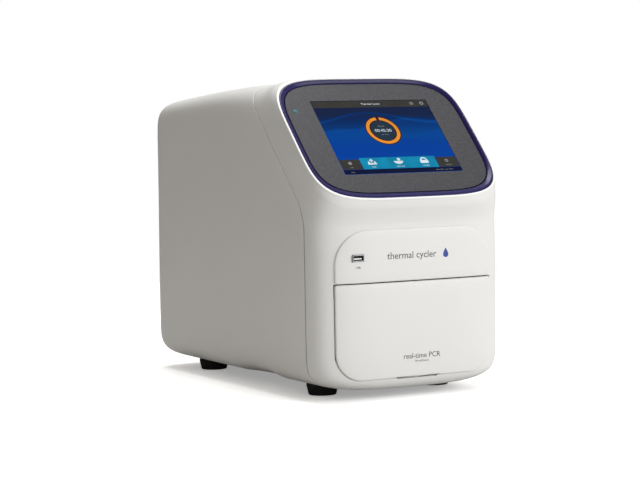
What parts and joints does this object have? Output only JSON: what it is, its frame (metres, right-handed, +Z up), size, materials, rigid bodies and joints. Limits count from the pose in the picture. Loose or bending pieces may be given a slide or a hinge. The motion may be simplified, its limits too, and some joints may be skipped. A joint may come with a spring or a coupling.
{
  "type": "thermal cycler",
  "caption": "Benchtop real-time thermal cycler with a slanted touchscreen, a motorised sample drawer with a wells block, a heated cover and fluorescence optics inside a rounded white shell.",
  "frame": {"origin": "on the floor under the middle of the body", "axes": "+Z up, the screen and drawer face -Y, +X to the right seen from the front"},
  "size_m": [0.27, 0.4999, 0.3971],
  "materials": {
    "shell_white": "moulded, fine satin",
    "rim_navy": "satin navy",
    "fascia_grey": "fine dotted texture",
    "display": "lit screen under glass",
    "status_teal": "translucent",
    "foot_rubber": "matte",
    "black_plastic": "moulded",
    "sheet_steel": "zinc plated",
    "aluminium": "machined",
    "screw_steel": "ground",
    "bronze": "turned",
    "circuit_board": "solder mask",
    "optical_glass": "coated",
    "mirror": "front coated",
    "ceramic_white": "alumina",
    "connector_metal": "nickel plated",
    "dark_grey": "moulded"
  },
  "bodies": {
    "chassis": {"front_shell": "shell_white", "main_cover": "shell_white", "front_bezel": "shell_white", "screen_rim": "rim_navy", "screen_fascia": "fascia_grey", "display_panel": "display", "status_lens": "status_teal", "foot_1": "foot_rubber", "foot_2": "foot_rubber", "foot_3": "foot_rubber", "foot_4": "foot_rubber", "screw_bearing": "black_plastic", "drawer_motor": "black_plastic", "lift_motor": "black_plastic", "optics_housing": "black_plastic", "mirror_mount": "black_plastic", "excitation_motor": "black_plastic", "emission_motor": "black_plastic", "camera_lens": "black_plastic", "fan_frame": "black_plastic", "power_inlet": "black_plastic", "switch_housing": "black_plastic", "base_plate": "sheet_steel", "side_frame_left": "sheet_steel", "side_frame_right": "sheet_steel", "display_chassis": "sheet_steel", "power_supply": "sheet_steel", "rear_panel": "sheet_steel", "optics_deck": "aluminium", "optics_shelf": "aluminium", "led_module": "aluminium", "guide_post_left": "screw_steel", "guide_post_right": "screw_steel", "main_board": "circuit_board", "block_driver_board": "circuit_board", "field_lens": "optical_glass", "beam_splitter": "optical_glass", "fold_mirror": "mirror", "usb_port_front": "connector_metal", "usb_port_rear": "connector_metal", "ethernet_port": "connector_metal", "camera_body": "dark_grey"},
    "drawer": {"drawer_front": "shell_white", "drawer_tray": "sheet_steel", "drawer_rail_left": "sheet_steel", "drawer_rail_right": "sheet_steel", "drawer_deck": "dark_grey", "block_frame": "black_plastic", "heat_sink": "aluminium", "peltier_module": "ceramic_white", "sample_block": "aluminium", "drive_nut": "bronze"},
    "drive_screw": {"drive_screw": "screw_steel"},
    "heated_cover": {"heated_cover_plate": "aluminium", "cover_frame": "black_plastic"},
    "lift_screw": {"lift_screw": "screw_steel"},
    "excitation_wheel": {"excitation_wheel": "black_plastic"},
    "emission_wheel": {"emission_wheel": "black_plastic"},
    "fan_rotor": {"fan_rotor": "black_plastic"},
    "power_rocker": {"power_rocker": "black_plastic"}
  },
  "joints": [
    {"name": "drawer_slide", "type": "slide", "parent": "chassis", "child": "drawer", "axis": [0, -1, 0], "range_m": [0, 0.19]},
    {"name": "drive_screw_spin", "type": "hinge", "parent": "chassis", "child": "drive_screw", "pos_m": [0, 0, 0.04], "axis": [0, 1, 0], "range_deg": [0, 3421]},
    {"name": "cover_lift", "type": "slide", "parent": "chassis", "child": "heated_cover", "axis": [0, 0, 1], "range_m": [0, 0.012]},
    {"name": "lift_screw_spin", "type": "hinge", "parent": "chassis", "child": "lift_screw", "pos_m": [0, -0.07, 0.13], "axis": [0, 0, 1], "range_deg": [0, 541]},
    {"name": "excitation_wheel_spin", "type": "hinge", "parent": "chassis", "child": "excitation_wheel", "pos_m": [0.0495, -0.05, 0.313], "axis": [1, 0, 0], "continuous": true},
    {"name": "emission_wheel_spin", "type": "hinge", "parent": "chassis", "child": "emission_wheel", "pos_m": [0, -0.0045, 0.313], "axis": [0, 1, 0], "continuous": true},
    {"name": "fan_spin", "type": "hinge", "parent": "chassis", "child": "fan_rotor", "pos_m": [0, 0.2255, 0.196], "axis": [0, 1, 0], "continuous": true},
    {"name": "power_rocker_press", "type": "hinge", "parent": "chassis", "child": "power_rocker", "pos_m": [-0.03, 0.243, 0.066], "axis": [1, 0, 0], "range_deg": [0, 14]}
  ],
  "couplings": [
    {"joint": "drive_screw_spin", "follows": "drawer_slide", "rad_per_m": 314.16},
    {"joint": "lift_screw_spin", "follows": "cover_lift", "rad_per_m": 785.4}
  ]
}
